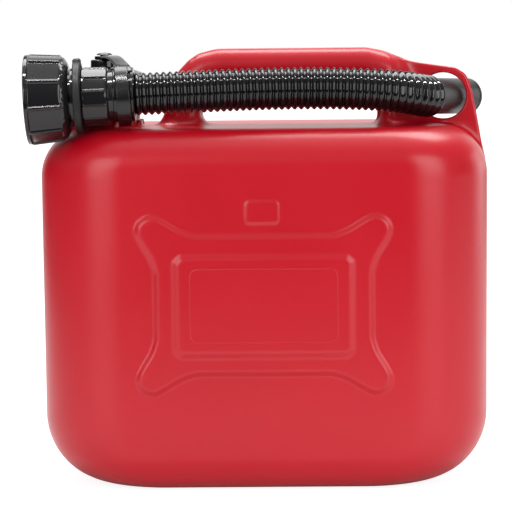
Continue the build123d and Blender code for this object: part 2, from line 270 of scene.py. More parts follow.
# ------------------------------------------------------------------ flat outlines in the XZ plane
def outline_distance(outline, points):
    """Signed distance, negative inside, from 2-D points to a closed outline."""
    nearest = np.full(len(points), 1e18)
    inside = np.zeros(len(points), bool)
    px, pz = points[:, 0], points[:, 1]
    for (x0, z0), (x1, z1) in zip(outline, np.roll(outline, -1, 0)):
        ex, ez = x1 - x0, z1 - z0
        wx, wz = px - x0, pz - z0
        t = np.clip((wx * ex + wz * ez) / (ex * ex + ez * ez + 1e-12), 0, 1)
        dx, dz = wx - t * ex, wz - t * ez
        nearest = np.minimum(nearest, dx * dx + dz * dz)
        crosses = (z0 <= pz) != (z1 <= pz)
        inside ^= crosses & (px < x0 + (pz - z0) / (z1 - z0 + 1e-18) * ex)
    distance = np.sqrt(nearest)
    return np.where(inside, -distance, distance)


class DistanceMap:
    """An outline's signed distance on a grid, read back by bilinear lookup."""

    CELL = 0.4

    def __init__(self, outline, x_range, z_range, blur=0):
        self.x0, self.z0 = x_range[0], z_range[0]
        X, Z = np.meshgrid(np.arange(self.x0, x_range[1] + self.CELL, self.CELL),
                           np.arange(self.z0, z_range[1] + self.CELL, self.CELL), indexing="ij")
        points = np.stack([X.ravel(), Z.ravel()], 1)
        grid = outline_distance(np.asarray(outline), points).reshape(X.shape)
        for _ in range(blur):
            grid[1:-1] = (grid[:-2] + 2 * grid[1:-1] + grid[2:]) / 4
            grid[:, 1:-1] = (grid[:, :-2] + 2 * grid[:, 1:-1] + grid[:, 2:]) / 4
        self.grid = grid

    def __call__(self, x, z):
        grid = self.grid
        u = np.clip((x - self.x0) / self.CELL, 0, grid.shape[0] - 1.001)
        v = np.clip((z - self.z0) / self.CELL, 0, grid.shape[1] - 1.001)
        i, j = u.astype(np.int32), v.astype(np.int32)
        fu, fv = u - i, v - j
        return ((grid[i, j] * (1 - fu) + grid[i + 1, j] * fu) * (1 - fv)
                + (grid[i, j + 1] * (1 - fu) + grid[i + 1, j + 1] * fu) * fv)


def open_spline(points, per_gap):
    """Catmull-Rom curve through 2-D points."""
    p = np.asarray(points, float)
    last = len(p) - 1
    curve = []
    for i in range(last):
        a, b, c, d = p[max(i - 1, 0)], p[i], p[i + 1], p[min(i + 2, last)]
        for k in range(per_gap):
            t = k / per_gap
            curve.append(0.5 * ((2 * b) + (-a + c) * t + (2 * a - 5 * b + 4 * c - d) * t * t
                                + (-a + 3 * b - 3 * c + d) * t ** 3))
    return curve + [p[-1]]


PANEL_Z = 106.0  # centre height of the raised fields

# Quarter of the X-shaped field: (x, height above PANEL_Z)
FIELD_QUARTER = [
    (38.0, 40.6), (46.5, 43.6), (57.6, 50.2), (62.6, 51.5), (67.2, 50.4), (71.0, 47.2),
    (72.6, 43.0), (72.0, 38.6), (69.0, 32.6), (64.9, 26.0), (62.4, 18.6)]


def field_outline():
    outline = []
    for sx, sz in ((1, 1), (1, -1), (-1, -1), (-1, 1)):
        points = [(sx * x, PANEL_Z + sz * z) for x, z in FIELD_QUARTER]
        outline += open_spline(points if sx * sz > 0 else points[::-1], per_gap=6)
    return outline


# Label field: a rectangle with clipped corners
LABEL_X, LABEL_Z0, LABEL_Z1, LABEL_CLIP = 51.6, PANEL_Z - 30.2, PANEL_Z + 29.4, 4.2
LABEL_CORNERS = [
    (-LABEL_X + LABEL_CLIP, LABEL_Z0), (LABEL_X - LABEL_CLIP, LABEL_Z0),
    (LABEL_X, LABEL_Z0 + LABEL_CLIP), (LABEL_X, LABEL_Z1 - LABEL_CLIP),
    (LABEL_X - LABEL_CLIP, LABEL_Z1), (-LABEL_X + LABEL_CLIP, LABEL_Z1),
    (-LABEL_X, LABEL_Z1 - LABEL_CLIP), (-LABEL_X, LABEL_Z0 + LABEL_CLIP)]
BADGE_CORNERS = [(-10.6, 151.0), (9.4, 151.0), (9.4, 165.0), (-10.6, 165.0)]

# Side views of the handle, its opening and the fin: (x, z, rounding)
HANDLE_CORNERS = [
    (-62, 180, 0), (-62, 198, 8), (-57.3, 211.0, 20), (-49.4, 234.6, 10), (-43.3, 241.0, 10),
    (-37.6, 244.9, 12), (-27.0, 247.5, 20), (60.0, 247.5, 16), (70.0, 244.8, 12),
    (77.6, 240.6, 8), (81.6, 236.2, 14), (86.6, 222.0, 20), (91.5, 208.0, 14), (96, 198, 8),
    (96, 180, 0)]
OPENING_CORNERS = [
    (-30.5, 170, 0), (-30.5, 196, 8), (-36.0, 209.5, 12), (-31.5, 229.5, 11),
    (63.5, 229.5, 11), (68.5, 209.5, 12), (63.0, 196, 8), (63, 170, 0)]
FIN_CORNERS = [
    (66.0, 242.6, 0), (78.0, 240.6, 20), (84.9, 239.3, 20), (99.3, 237.1, 20),
    (110.4, 235.5, 6), (116.6, 231.6, 8), (119.8, 223.0, 30), (121.9, 212.3, 30),
    (124.1, 199.9, 30), (126.4, 184.3, 30), (126.7, 172.0, 10), (95.0, 172.0, 0),
    (66.0, 190.0, 0)]

FIELD_MAP = DistanceMap(field_outline(), (-80, 80), (48, 164), blur=1)
LABEL_MAP = DistanceMap(rounded(LABEL_CORNERS, 2.0), (-60, 60), (70, 142))
BADGE_MAP = DistanceMap(rounded(BADGE_CORNERS, 3.0), (-20, 20), (140, 176))
HANDLE_MAP = DistanceMap(rounded(HANDLE_CORNERS, seg=8), (-75, 110), (180, 255), blur=4)
OPENING_MAP = DistanceMap(rounded(OPENING_CORNERS, seg=8), (-50, 85), (180, 240), blur=4)
FIN_MAP = DistanceMap(rounded(FIN_CORNERS, seg=6), (40, 134), (168, 250), blur=2)


# ------------------------------------------------------------------ tank as a distance field
def ramp_up(t):
    """0 to 1, straight in the middle with short rounds at both ends."""
    k = 0.22  # share of the run taken by each round
    t = np.clip(t, 0, 1)
    m = 1.0 / (1.0 - k)
    return np.where(t < k, 0.5 * m / k * t * t,
                    np.where(t > 1 - k, 1 - 0.5 * m / k * (1 - t) ** 2, m * (t - k / 2)))


def raised_height(x, z):
    """How far the fields stand out of the broad faces."""
    height = np.zeros_like(x)
    near = (np.abs(x) < 78) & (z > 50) & (z < 172)
    if near.any():
        x, z = x[near], z[near]
        total = 1.75 * ramp_up(-FIELD_MAP(x, z) / 3.7)
        label = (np.abs(x) < 56) & (z > 72) & (z < 140)
        total = total + np.where(label, 1.5 * ramp_up(-LABEL_MAP(x, z) / 4.2), 0.0)
        badge = (np.abs(x) < 16) & (z > 145) & (z < 171)
        total = total + np.where(badge, 0.5 * ramp_up(-BADGE_MAP(x, z) / 1.3), 0.0)
        height[near] = total
    return height


def arc_inset(gap, radius):
    """How far a rounded edge has drawn in at this gap from its end, and its slope there."""
    near = np.clip(gap, 0, radius)
    inset = radius - np.sqrt(np.maximum(radius * radius - (radius - near) ** 2, 0))
    near = np.clip(gap, 1e-3, radius)
    chord = np.sqrt(np.maximum(radius * radius - (radius - near) ** 2, 1e-9))
    return inset, np.where(near < radius, -(radius - near) / chord, 0.0)


def edge_inset(level, rounds):
    """Inset and slope from whichever of the base and top rounds cuts deeper."""
    base, base_slope = arc_inset(level, rounds[0])
    top, top_slope = arc_inset(HEIGHT - level, rounds[1])
    return np.maximum(base, top), np.where(base > top, base_slope, top_slope)


def body_distance(x, y, z):
    level = np.clip(z, 0, HEIGHT)
    side_inset, side_slope = edge_inset(level, SIDE_ROUNDS)
    face_inset, face_slope = edge_inset(level, FACE_ROUNDS)
    half_x = HALF_WIDTH - side_inset - BASE_TAPER * (1 - level / HEIGHT)
    half_y = HALF_DEPTH - face_inset
    corner = PLAN_ROUND - 0.75 * face_inset
    qx = np.abs(x) - half_x + corner
    qy = np.abs(y) - raised_height(x, z) - half_y + corner
    px, py = np.maximum(qx, 0), np.maximum(qy, 0)
    reach = np.sqrt(px * px + py * py)
    plan = reach + np.minimum(np.maximum(qx, qy), 0) - corner
    # Divide by the wall's slope so that the value stays close to a true distance.
    nx = np.where(reach > 1e-6, px / np.maximum(reach, 1e-6), (qx > qy) * 1.0)
    ny = np.where(reach > 1e-6, py / np.maximum(reach, 1e-6), (qx <= qy) * 1.0)
    slope = np.clip(side_slope * nx + face_slope * ny, -3.0, 3.0)
    wall = plan / np.sqrt(1 + slope * slope)
    ends = np.maximum(z - HEIGHT, -z)
    return np.where((wall > 0) & (ends > 0), np.sqrt(wall * wall + ends * ends),
                    np.maximum(wall, ends))


def round_meet(a, b, radius):
    """The overlap of two distances, with a rounded edge where they meet."""
    a, b = a + radius, b + radius
    return (np.minimum(np.maximum(a, b), 0)
            + np.sqrt(np.maximum(a, 0) ** 2 + np.maximum(b, 0) ** 2) - radius)


def blend_min(a, b, width):
    """Union of two distances with a fillet."""
    h = np.maximum(width - np.abs(a - b), 0.0) / width
    return np.minimum(a, b) - h * h * h * width / 6.0


def handle_distance(x, y, z):
    half = 13.5 - 11.0 * smooth_step((x - 71.0) / 19.0)  # thins out towards the fin
    edge = np.minimum(8.8, np.maximum(half - 0.4, 1.0))
    return round_meet(np.maximum(HANDLE_MAP(x, z), -OPENING_MAP(x, z)), np.abs(y) - half, edge)


def fin_distance(x, y, z):
    hole = EYELET_RADIUS - np.sqrt((x - EYELET_X) ** 2 + (z - EYELET_Z) ** 2)
    return round_meet(np.maximum(FIN_MAP(x, z), hole), np.abs(y) - 1.3, 1.1)


def tank_distance(x, y, z):
    distance = body_distance(x, y, z)
    high = z > 165
    if high.any():
        x, y, z = x[high], y[high], z[high]
        near = distance[high]
        near = np.where(x > 48, blend_min(near, fin_distance(x, y, z), 6.0), near)
        near = blend_min(near, handle_distance(x, y, z), 9.0)
        radius = np.sqrt((x - NECK[0]) ** 2 + (y - NECK[1]) ** 2)
        neck = np.minimum(round_meet(radius - 20.0, z - 224.0, 0.9),
                          round_meet(radius - 21.6, z - 206.9, 0.8))
        near = blend_min(near, neck, 3.0)
        distance[high] = np.maximum(near, 17.2 - radius)  # bore of the neck
    return distance


# ------------------------------------------------------------------ tank mesh
def surface_net(distance, xs, ys, zs):
    """Points and quads where the distance crosses zero, one point to a grid cell."""
    X, Y = np.meshgrid(xs, ys, indexing="ij")
    shape = (len(xs), len(ys), len(zs))
    field = np.empty(shape, np.float32)
    for k, z in enumerate(zs):
        layer = distance(X.ravel(), Y.ravel(), np.full(X.size, z))
        field[:, :, k] = layer.reshape(X.shape)
    inside = field < 0
    nx, ny, nz = (n - 1 for n in shape)
    corners = list(itertools.product((0, 1), repeat=3))
    inside_count = np.zeros((nx, ny, nz), np.int8)
    for dx, dy, dz in corners:
        inside_count += inside[dx:nx + dx, dy:ny + dy, dz:nz + dz]
    I, J, K = np.nonzero((inside_count > 0) & (inside_count < 8))
    index = np.full(inside_count.shape, -1, np.int32)
    index[I, J, K] = np.arange(len(I))

    # Each point is the mean of the crossings on its cell's edges.
    value = {(dx, dy, dz): field[I + dx, J + dy, K + dz] for dx, dy, dz in corners}
    total, hits = np.zeros((len(I), 3)), np.zeros(len(I))
    for start, here in value.items():
        for axis in range(3):
            if start[axis] == 1:
                continue
            there = value[start[:axis] + (1,) + start[axis + 1:]]
            cross = (here < 0) != (there < 0)
            place = np.tile(np.array(start, float), (len(I), 1))
            place[:, axis] = np.where(cross, here / np.where(cross, here - there, 1), 0)
            total[cross] += place[cross]
            hits += cross
    mean = total / hits[:, None]
    points = np.stack([line[cell] + mean[:, axis] * np.diff(line)[cell]
                       for axis, (line, cell) in enumerate(((xs, I), (ys, J), (zs, K)))], 1)

    # Each grid edge that crosses the surface gives a quad between its four cells.
    quads = []
    for axis in range(3):
        lower, upper = [slice(1, -1)] * 3, [slice(1, -1)] * 3
        lower[axis] = slice(0, shape[axis] - 1)
        upper[axis] = slice(1, shape[axis])
        edge = np.stack(np.nonzero(inside[tuple(lower)] != inside[tuple(upper)]), 1) + 1
        edge[:, axis] -= 1
        side_a, side_b = [other for other in range(3) if other != axis]
        ring = []
        for back_a, back_b in ((1, 1), (0, 1), (0, 0), (1, 0)):
            cell = edge.copy()
            cell[:, side_a] -= back_a
            cell[:, side_b] -= back_b
            ring.append(index[tuple(cell.T)])
        quad = np.stack(ring, 1)
        starts_inside = inside[tuple(edge.T)]
        keep = starts_inside if axis != 1 else ~starts_inside
        quads.append(np.where(keep[:, None], quad, quad[:, ::-1]))
    quads = np.concatenate(quads)
    return points, quads[(quads >= 0).all(1)]


def project(distance, points, rounds):
    """Move points along the gradient on to the surface."""
    probe, longest = 0.05, 0.8
    points = points.copy()
    for _ in range(rounds):
        value = distance(*points.T)
        gradient = np.stack([distance(*(points + shift).T) - distance(*(points - shift).T)
                             for shift in probe * np.eye(3)], 1) / (2 * probe)
        square = np.maximum((gradient * gradient).sum(1), 0.04)
        move = -(value / square)[:, None] * gradient
        length = np.linalg.norm(move, axis=1)
        points += move * np.minimum(1.0, longest / np.maximum(length, 1e-9))[:, None]
    return points


def relax(distance, points, quads, rounds):
    """Even out the net, putting it back on the surface each time."""
    for _ in range(rounds):
        total, count = np.zeros((len(points), 3)), np.zeros(len(points))
        for a, b in ((0, 1), (1, 2), (2, 3), (3, 0)):
            np.add.at(total, quads[:, a], points[quads[:, b]])
            np.add.at(total, quads[:, b], points[quads[:, a]])
            np.add.at(count, quads[:, a], 1)
            np.add.at(count, quads[:, b], 1)
        points = points + 0.5 * (total / np.maximum(count, 1)[:, None] - points)
        points = project(distance, points, rounds=1)
    return points


def grid_lines(*runs):
    """Grid lines from runs of (from, to, step)."""
    lines = []
    for start, end, step in runs:
        count = max(1, int(round((end - start) / step)))
        lines += list(start + (end - start) * np.arange(count) / count)
    return np.array(lines + [runs[-1][1]])


def build_tank():
    step = 1.15
    # Finer across the thin fin and over the top parts
    xs = grid_lines((-131.3, 76.0, step), (76.0, 131.0, step * 0.7))
    ys = grid_lines((-72.1, -5.0, step), (-5.0, 5.0, 0.55), (5.0, 72.1, step))
    zs = grid_lines((-3.2, 180.0, step), (180.0, 251.0, step * 0.75))
    points, quads = surface_net(tank_distance, xs, ys, zs)
    points = project(tank_distance, points, rounds=2)
    points = relax(tank_distance, points, quads, rounds=2)
    points = project(tank_distance, points, rounds=2)
    return make_mesh("tank_shell", points, quads)


# ------------------------------------------------------------------ small parts of the tank
def thread_ridge(name, radius, height, start, centre, outward):
    """A helical ridge about Z on a wall; outward is 1, or -1 to stand inward."""
    pitch, turns, root, crest = 4.0, 1.5, 2.0, 1.0
    steps = int(96 * turns)
    rows = []
    for i in range(steps + 1):
        t = i / steps
        angle = 2 * math.pi * turns * t
        z = start + pitch * turns * t
        rise = min(1.0, min(t, 1 - t) * steps / 7.0)  # runs out at both ends
        rise = rise * rise * (3 - 2 * rise)
        top = radius + outward * height * rise
        shoulder = top - outward * 0.15 * rise
        sunk = radius - outward * 0.6
        half = [(sunk, root / 2), (radius, root / 2), (shoulder, crest / 2 + 0.05),
                (top, crest / 2 - 0.15)]
        section = [(r, -dz) for r, dz in half] + half[::-1]
        rows.append([(centre[0] + r * math.cos(angle), centre[1] + r * math.sin(angle), z + dz)
                     for r, dz in section])
    return skin(name, rows)


def build_neck_lugs():
    """Eight lugs round the foot of the neck."""
    # Side view: (across, z)
    outline = rounded([(-1.6, 202.0), (1.6, 202.0), (1.6, 207.3), (-0.4, 207.3), (-1.6, 205.6)],
                      0.4, seg=3)
    middle = outline.mean(0)
    layers = ((20.8, 1.0), (22.7, 1.0), (23.0, 0.9), (23.1, 0.75))  # (radius, scale)
    lugs = []
    for degrees in range(20, 336, 45):
        angle = math.radians(degrees)
        outward = np.array([math.cos(angle), math.sin(angle), 0])
        across = np.array([-math.sin(angle), math.cos(angle), 0])
        rows = []
        for radius, scale in layers:
            shape = middle + (outline - middle) * scale
            rows.append(NECK + outward * radius + shape[:, :1] * across + shape[:, 1:] * UP)
        lugs.append(skin(f"lug{degrees}", rows, caps=[len(layers) - 1]))
    return join("neck_lugs", lugs)


def build_label_line(name, side):
    """Raised hairline round the label field; side is -1 for the front, 1 for the back."""
    half_x, half_z, middle_z, width = 41.3, 20.6, 105.9, 0.8
    foot, crest = 68.12, 68.42  # distance from the mid-plane
    base = rounded([(-half_x, middle_z - half_z), (half_x, middle_z - half_z),
                    (half_x, middle_z + half_z), (-half_x, middle_z + half_z)], 4.2, seg=8)
    tangent = unit(np.roll(base, -1, 0) - np.roll(base, 1, 0))
    normal = np.stack([tangent[:, 1], -tangent[:, 0]], 1)
    rows = []
    for offset, y in ((-width / 2, foot), (-width / 4, crest), (width / 4, crest),
                      (width / 2, foot)):
        line = base + normal * offset
        rows.append(np.stack([line[:, 0], np.full(len(base), side * y), line[:, 1]], 1))
    return skin(name, rows)


tank = build_tank()
thread = thread_ridge("neck_thread", 19.95, 1.25, start=211.4, centre=NECK, outward=1)
neck_lugs = build_neck_lugs()
line_front = build_label_line("label_line_front", -1)
line_back = build_label_line("label_line_back", 1)


# ------------------------------------------------------------------ union nut, disc and collar
def rib_offset(theta, count, phase=0.0):
    """Angle to the nearest rib's crown."""
    pitch = 2 * math.pi / count
    return np.abs((theta - phase + pitch / 2) % pitch - pitch / 2)


def rib_wave(theta, count, phase, width):
    """1 on a rib's crown, 0 between ribs; width is the full rib as an angle."""
    return smooth_step((width / 2 - rib_offset(theta, count, phase)) / (width * 0.28))


def flats(theta, count, phase):
    """Radius factor of a polygon, 1 at its corners."""
    pitch = 2 * math.pi / count
    return 1.0 / np.cos((theta - phase) % pitch - pitch / 2) * math.cos(pitch / 2)


def shape_nut(theta, along, radius):
    """Flats with a rib on each corner, and fine waves round the end shoulder."""
    count, phase = 10, math.radians(10.1)
    grip = between(along, 1.9, 20.9, 0.9, 0.9)
    body = radius * (1 + (flats(theta, count, phase) * 1.012 - 1.0) * grip * 0.62)
    rib = rib_wave(theta, count, phase, width=0.118) * 0.85 * grip
    shoulder = between(along, 21.2, 24.3, 0.5, 0.5) * (radius > 16.0)
    waves = 0.28 * shoulder * (0.5 + 0.5 * np.cos(theta * 36))
    return np.where(radius > 21.9, body + rib, radius) - np.where(along > 21.0, waves, 0)


def shape_disc(theta, along, radius):
    """A tab at the top: theta runs from the front downward, so the top is at 3/2 pi."""
    from_top = (theta - 1.5 * math.pi + math.pi) % (2 * math.pi) - math.pi
    tab = smooth_step((0.235 - np.abs(from_top)) / 0.075)
    return radius + np.where(radius > 18.0, 1.75 * tab * smooth_step((radius - 18.0) / 1.4), 0)


def shape_collar(theta, along, radius):
    count, phase = 12, math.radians(16.0)
    grip = between(along, 32.4, 45.6, 0.6, 0.6) * (radius > 15.0)
    rib = rib_wave(theta, count, phase, width=0.085) * 0.45 * grip
    return radius * (1 + (flats(theta, count, phase) * 1.01 - 1) * grip * 0.7) + rib


# Turned profiles on the spout axis: (along, radius, rounding)
NUT_CORNERS = [
    (0.0, 21.3, 0.3), (0.0, 25.25, 0.6), (2.1, 25.25, 0.4), (2.5, 24.75, 0.4),
    (20.7, 23.25, 0.9), (22.2, 22.4, 1.5), (24.0, 19.4, 1.5), (24.6, 17.6, 0.8),
    (24.6, 14.1, 0.3), (20.6, 14.1, 0.3), (20.6, 21.3, 0.6)]
DISC_CORNERS = [
    (27.1, 16.58, 0.3), (27.0, 19.4, 0.5), (27.6, 20.1, 0.6), (30.7, 20.1, 0.6),
    (31.3, 19.4, 0.5), (31.2, 16.58, 0.3)]
COLLAR_END = 60.8
COLLAR_CORNERS = [
    (31.6, 12.3, 0.2), (31.6, 15.9, 0.4), (32.1, 16.4, 0.4), (45.6, 16.0, 0.5),
    (46.3, 15.3, 0.4), (46.6, 14.3, 0.4), (49.3, 14.3, 0.3), (49.8, 14.9, 0.3),
    (59.2, 14.9, 0.2), (59.5, 15.4, 0.2), (60.4, 15.4, 0.4), (COLLAR_END, 14.8, 0.3),
    (COLLAR_END, 12.3, 0.2)]

nut = lathe("union_nut", NUT_CORNERS, SPOUT_START, SPOUT_AXIS, count=480, step=0.6, seg=5,
            reshape=shape_nut)
# The nut's inner thread is made about Z, then laid along the spout axis.
nut_thread = thread_ridge("nut_thread_tmp", 21.45, 1.2, start=3.2, centre=(0, 0), outward=-1)
upright = read_points(nut_thread)
write_points(nut_thread, SPOUT_START + upright[:, 2:3] * SPOUT_AXIS
             + upright[:, 0:1] * SPOUT_UP + upright[:, 1:2] * FRONT)
nut_thread.name = "nut_thread"
disc = lathe("stop_disc_ring", DISC_CORNERS, SPOUT_START, SPOUT_AXIS, count=360, step=0.5,
             seg=4, reshape=shape_disc)
collar = lathe("collar", COLLAR_CORNERS, SPOUT_START, SPOUT_AXIS, count=360, step=0.5, seg=4,
               reshape=shape_collar)

# ------------------------------------------------------------------ hose and nozzle
HOSE_START = SPOUT_START + SPOUT_AXIS * COLLAR_END
HOSE_END = NOZZLE_SEAT - NOZZLE_AXIS * 17.6
HOSE_MIDDLE = [(-35.4, -41.0, 224.7), (-3.0, -36.6, 225.5), (30.0, -33.9, 225.6),
               (61.0, -33.1, 224.6), (83.6, -26.7, 222.0)]
FOLD_PITCH = 3.7
VALLEY_RADIUS, FOLD_HEIGHT = 10.55, 1.5


def build_hose():
    line = clamped_spline([HOSE_START, *HOSE_MIDDLE, HOSE_END], SPOUT_AXIS, NOZZLE_AXIS, 2400)
    arc = np.concatenate([[0], np.cumsum(np.linalg.norm(np.diff(line, axis=0), axis=1))])
    length = arc[-1]

    def at(distance):
        return np.stack([np.interp(distance, arc, line[:, k]) for k in range(3)], -1)

    folds = int(round(length / FOLD_PITCH))
    per_fold = 12
    stations = np.linspace(0, length, folds * per_fold + 1)
    phase = (stations / length * folds) % 1.0
    crest = np.clip(0.5 - 0.5 * np.cos(2 * math.pi * phase), 0, 1) ** 0.62
    fold_radii = VALLEY_RADIUS + FOLD_HEIGHT * crest
    fold_radii[-1] = 10.6
    middle = at(stations)

    # A smooth cuff inside the collar, then the folds, then a return into the far end
    cuff = np.array([55.0, 57.0, 58.6, 59.6, 60.4])[:, None]
    end = at(np.array([length, length, length - 2.0]))
    centres = np.concatenate([SPOUT_START + SPOUT_AXIS * cuff, middle, end])
    tangents = np.concatenate([np.tile(SPOUT_AXIS, (len(cuff), 1)),
                               unit(np.gradient(middle, axis=0)),
                               np.tile(NOZZLE_AXIS, (len(end), 1))])
    radii = np.concatenate([[12.2, 12.2, 12.2, 11.6, 10.9], fold_radii, [10.2, 9.85, 9.8]])

    around = 80
    theta = (np.arange(around) * 2 * math.pi / around)[None, :, None]
    up = unit(UP - tangents * tangents[:, 2:])
    side = np.cross(tangents, up)
    spokes = np.cos(theta) * up[:, None] + np.sin(theta) * side[:, None]
    return skin("corrugated_hose", centres[:, None] + radii[:, None, None] * spokes)


hose = build_hose()

TIP = 29.8
# On the nozzle axis, from its seat: (along, radius, rounding)
NOZZLE_CORNERS = [
    (-20.0, 9.0, 0.2), (-19.0, 9.35, 0.3), (-17.5, 9.35, 0.1), (-17.4, 10.5, 0.3),
    (-8.0, 10.3, 2.0), (TIP - 3.0, 10.25, 0.3), (TIP - 2.6, 10.5, 0.3), (TIP - 0.7, 10.5, 0.6),
    (TIP, 9.8, 0.4), (TIP, 8.8, 0.4), (TIP - 0.8, 8.1, 0.4), (TIP - 4, 8.0, 0.3),
    (-20.0, 8.0, 0.2)]
nozzle = lathe("nozzle_tube", NOZZLE_CORNERS, NOZZLE_SEAT, NOZZLE_AXIS, count=128, step=0.7,
               seg=4, zero=unit(FRONT - NOZZLE_AXIS * np.dot(FRONT, NOZZLE_AXIS)))

# ------------------------------------------------------------------ filler cap and stud
CAP_FOOT = 211.6
# On the neck's axis: (z, radius, rounding)
CAP_CORNERS = [
    (CAP_FOOT, 23.75, 0.3), (CAP_FOOT, 25.6, 0.5), (CAP_FOOT + 1.8, 25.6, 0.3),
    (CAP_FOOT + 2.2, 25.35, 0.3), (229.0, 25.15, 1.5), (231.8, 24.5, 3.0), (234.2, 22.2, 3.0),
    (235.9, 17.6, 3.5), (236.9, 12.0, 3.0), (237.3, 8.6, 0.5), (238.0, 8.05, 0.4),
    (241.4, 8.0, 0.5), (242.0, 7.4, 0.5), (242.0, 2.65, 0.2), (233.1, 2.65, 0.1),
    (233.1, 1.0, 0.1), (231.3, 1.0, 0.1), (231.3, 21.6, 1.0), (230.0, 23.75, 0.8)]
STUD_CORNERS = [
    (233.1, 0.02, 0), (233.1, 2.55, 0.1), (244.65, 2.55, 0.1), (244.65, 4.5, 0.2),
    (245.0, 4.6, 0.5), (245.7, 3.4, 1.2), (246.1, 0.02, 0)]


def shape_cap(theta, along, radius):
    """28 narrow grip ribs round the skirt."""
    grip = between(along, CAP_FOOT + 1.9, 230.6, 0.8, 1.6) * (radius > 24.6)
    return radius + 0.7 * smooth_step((0.052 - rib_offset(theta, 28)) / 0.026) * grip


cap = lathe("filler_cap_shell", CAP_CORNERS, NECK, UP, count=448, step=0.6, seg=5,
            reshape=shape_cap)
stud = lathe("stud_head", STUD_CORNERS, NECK, UP, count=64, step=0.5, seg=5)

# ------------------------------------------------------------------ tether strap
RING_CORNERS = [
    (50.3, 15.0, 0.2), (50.3, 17.0, 0.4), (50.9, 17.45, 0.4), (57.5, 17.45, 0.4),
    (58.1, 17.0, 0.4), (58.1, 15.0, 0.2)]
STRAP_EYE_CORNERS = [(242.1, 2.7, 0.2), (242.1, 5.7, 0.5), (244.0, 5.7, 0.5), (244.0, 2.7, 0.2)]

# The band runs level from the ring on the collar to the eye over the neck.
RING_CENTRE = SPOUT_START + SPOUT_AXIS * 53.6
BAND_ROOT = RING_CENTRE * (1, 1, 0)
BAND_SPAN = np.linalg.norm(NECK - BAND_ROOT)
BAND_DIRECTION = (NECK - BAND_ROOT) / BAND_SPAN
# Top of the band: (distance from the ring's centre, z)
BAND_ARCH = [
    (-9.6, 237.3), (-5.0, 239.75), (0.0, 240.95), (5.0, 241.9), (11.0, 243.1), (18.0, 244.25),
    (27.0, 244.75), (BAND_SPAN - 9.5, 244.35), (BAND_SPAN - 4.2, 243.85)]


def build_ring():
    ring = lathe("ring_tmp", RING_CORNERS, SPOUT_START, SPOUT_AXIS, count=160, step=0.6, seg=4)
    # The soft ring leans a little in its seat.
    points = read_points(ring)
    offset = points - SPOUT_START
    forward, up = offset @ FRONT, offset @ SPOUT_UP
    lean = (1.0 * forward - 0.6 * up) / np.sqrt(forward ** 2 + up ** 2)
    write_points(ring, points + lean[:, None] * SPOUT_AXIS)
    return ring


def build_band():
    half_width, thickness = 3.85, 1.7
    across = np.cross(BAND_DIRECTION, UP)
    arch = clamped_spline([(along, 0, z) for along, z in BAND_ARCH],
                          (0.84, 0, 0.54), (1, 0, -0.02), 160)
    tangents = unit(np.gradient(arch, axis=0))
    section = rounded([(half_width, 0), (-half_width, 0)][::-1]
                      + [(half_width, -thickness), (-half_width, -thickness)], 0.6, seg=3)
    side, depth = section[:, :1], section[:, 1:]
    rows = []
    # The band is a little wider at the ring.
    for point, tangent, widen in zip(arch, tangents, np.linspace(1.06, 1.0, len(arch))):
        along = point[0] - tangent[2] * depth
        height = point[2] + tangent[0] * depth
        rows.append(BAND_ROOT + along * BAND_DIRECTION + side * widen * across + height * UP)
    return skin("band_tmp", rows, caps=(0, len(rows) - 1))


strap = join("tether", [
    build_ring(), build_band(),
    lathe("eye_tmp", STRAP_EYE_CORNERS, NECK, UP, count=72, step=0.6, seg=4)])


# ------------------------------------------------------------------ shader tools
def grey(value):
    return (value, value, value)


class Nodes:
    """Short calls for adding nodes to one tree; most return the new node's output."""

    def __init__(self, tree):
        self.tree = tree
        tree.nodes.clear()

    def feed(self, node, inputs):
        """Link sockets and set plain values, by input name or number."""
        for key, value in inputs.items():
            if isinstance(value, bpy.types.NodeSocket):
                self.tree.links.new(value, node.inputs[key])
            else:
                node.inputs[key].default_value = value

    def add(self, kind, inputs=None, **settings):
        node = self.tree.nodes.new(kind)
        for key, value in settings.items():
            setattr(node, key, value)
        self.feed(node, inputs or {})
        return node

    def coords(self):
        return self.add("ShaderNodeTexCoord").outputs["Object"]

    def noise(self, vector, scale, detail, rough=0.55):
        return self.add("ShaderNodeTexNoise", {"Scale": scale, "Detail": detail,
                                               "Roughness": rough, "Vector": vector}).outputs["Fac"]

    def ramp(self, factor, stops):
        node = self.add("ShaderNodeValToRGB", {"Fac": factor})
        elements = node.color_ramp.elements
        while len(elements) < len(stops):
            elements.new(0.5)
        for element, (position, colour) in zip(elements, stops):
            element.position = position
            element.color = (*colour, 1)
        return node.outputs["Color"]

    def remap(self, value, source, target):
        return self.add("ShaderNodeMapRange", {
            "From Min": source[0], "From Max": source[1],
            "To Min": target[0], "To Max": target[1], "Value": value}).outputs["Result"]

    def mix(self, factor, first, second, mode="MIX"):
        first, second = ((*colour, 1) if isinstance(colour, tuple) else colour
                         for colour in (first, second))
        return self.add("ShaderNodeMix", {0: factor, 6: first, 7: second},
                        data_type="RGBA", blend_type=mode).outputs[2]

    def math(self, operation, *values):
        return self.add("ShaderNodeMath", dict(enumerate(values)), operation=operation).outputs[0]

    def bump(self, height, distance, strength, normal=None):
        inputs = {"Distance": distance, "Strength": strength, "Height": height}
        if normal is not None:
            inputs["Normal"] = normal
        return self.add("ShaderNodeBump", inputs).outputs["Normal"]

    def edges(self, start):
        """A mask of convex edges."""
        pointiness = self.add("ShaderNodeNewGeometry").outputs["Pointiness"]
        return self.remap(pointiness, source=(start, 0.62), target=(0.0, 1.0))


def new_material(name):
    material = bpy.data.materials.new(name)
    material.use_nodes = True
    nodes = Nodes(material.node_tree)
    output = nodes.add("ShaderNodeOutputMaterial")
    surface = nodes.add("ShaderNodeBsdfPrincipled")
    nodes.feed(output, {"Surface": surface.outputs["BSDF"]})
    return material, nodes, surface, output


